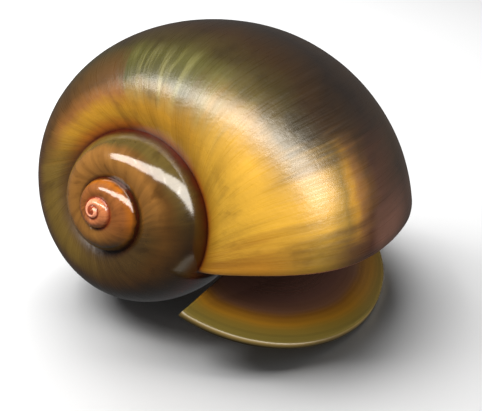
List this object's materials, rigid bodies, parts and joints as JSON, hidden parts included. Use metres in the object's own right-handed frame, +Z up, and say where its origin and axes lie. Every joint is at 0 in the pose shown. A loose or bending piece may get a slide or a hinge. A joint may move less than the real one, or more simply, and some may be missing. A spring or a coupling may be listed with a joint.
{
  "type": "apple snail shell",
  "caption": "Glossy globose snail shell with a low spire, golden amber to dark olive brown, lying on its mouth with the thin horny operculum ajar under the lip.",
  "frame": {"origin": "on the surface the shell rests on, under the middle of its bounding box", "axes": "+Z up as the shell lies on its mouth, +X towards the outer side of the last whorl, -Y towards the viewer and the spire"},
  "size_m": [0.0454, 0.0386, 0.0323],
  "materials": {
    "shell": "glossy periostracum over shell",
    "horn": "satin horn"
  },
  "bodies": {
    "root": {"shell": "shell", "operculum": "horn"}
  },
  "joints": []
}
